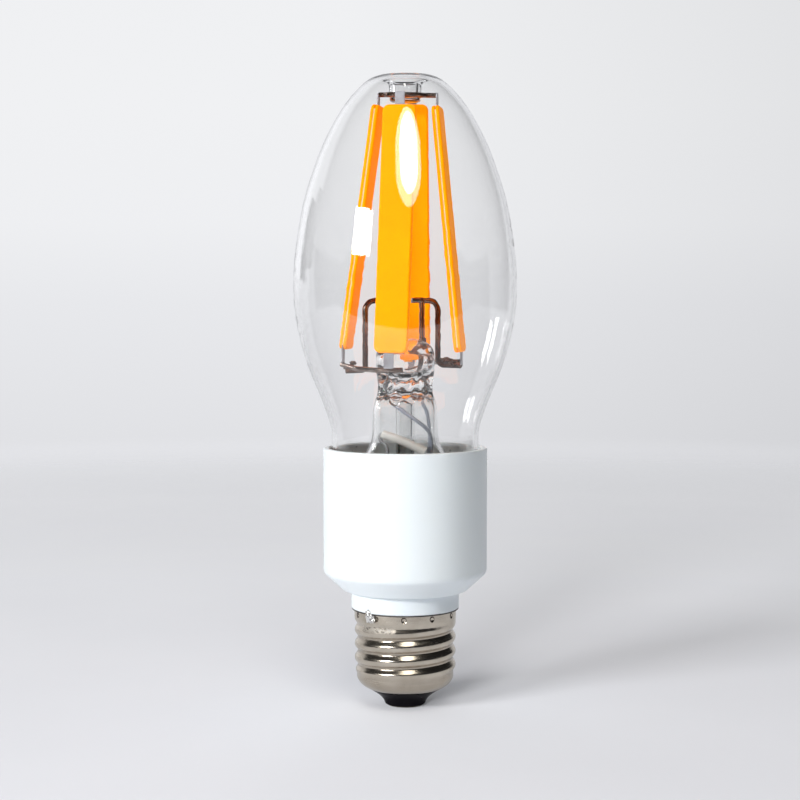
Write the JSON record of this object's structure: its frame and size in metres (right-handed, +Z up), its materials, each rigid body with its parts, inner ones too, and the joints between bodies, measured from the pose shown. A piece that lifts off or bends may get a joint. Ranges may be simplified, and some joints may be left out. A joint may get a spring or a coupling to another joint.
{
  "type": "led hid replacement bulb",
  "caption": "Clear elongated glass lamp with upright LED strips on a wire mount, a plain white collar over the driver, and a screw base.",
  "frame": {"origin": "middle of the centre contact's flat underside, which is the lamp's foot", "axes": "+Z up the lamp's axis from the foot to the top of the glass; -Y towards the front LED strip; +X to the right seen from the front"},
  "size_m": [0.0574, 0.0574, 0.162],
  "materials": {
    "black_insulator": "black, smooth",
    "board": "green circuit board",
    "capacitor_can": "dark shrink sleeve",
    "chip_black": "black moulding",
    "clear_adhesive": "clear cured adhesive",
    "clear_glass": "clear blown glass",
    "contact_metal": "nickel-plated brass, dull",
    "copper_wire": "tinned copper wire",
    "ferrite": "dark ferrite",
    "film_box": "yellow moulded box",
    "grey_sleeve": "blue-grey sleeve",
    "mount_wire": "bright drawn wire, heat-tinted",
    "nickel_shell": "nickel plate, satin to bright",
    "phosphor": "yellow-orange silicone, satin",
    "resistor_body": "lacquered ceramic",
    "solder": "bright lumpy solder",
    "strip_carrier": "translucent white",
    "tab_metal": "dull grey sheet",
    "white_housing": "moulded, semi-gloss white",
    "white_sleeve": "off-white braided glass-fibre sleeve",
    "winding": "enamelled copper winding"
  },
  "bodies": {
    "root": {"bar_left": "mount_wire", "bar_right": "mount_wire", "base_insulator": "black_insulator", "bridge_rectifier": "chip_black", "carrier_back": "strip_carrier", "carrier_front": "strip_carrier", "carrier_left": "strip_carrier", "carrier_right": "strip_carrier", "centre_contact": "contact_metal", "centre_wire": "copper_wire", "choke_core": "ferrite", "choke_winding": "winding", "collar_housing": "white_housing", "covered_wire": "copper_wire", "driver_board": "board", "driver_chip": "chip_black", "exhaust_tube": "clear_glass", "film_capacitor": "film_box", "fusible_resistor": "resistor_body", "glass_envelope": "clear_glass", "hook_left": "mount_wire", "hook_right": "mount_wire", "insulating_sleeve": "white_sleeve", "lead_in_left": "mount_wire", "lead_in_right": "mount_wire", "lead_sleeve_a": "grey_sleeve", "lead_sleeve_b": "grey_sleeve", "lead_wire_a": "copper_wire", "lead_wire_b": "copper_wire", "neck_adhesive": "clear_adhesive", "phosphor_back": "phosphor", "phosphor_front": "phosphor", "phosphor_left": "phosphor", "phosphor_right": "phosphor", "post_left": "mount_wire", "post_right": "mount_wire", "screw_shell": "nickel_shell", "shell_wire": "copper_wire", "side_solder": "solder", "smoothing_capacitor": "capacitor_can", "stem_glass": "clear_glass", "terminals_back": "tab_metal", "terminals_front": "tab_metal", "terminals_left": "tab_metal", "terminals_right": "tab_metal", "top_ring": "mount_wire"}
  },
  "joints": []
}
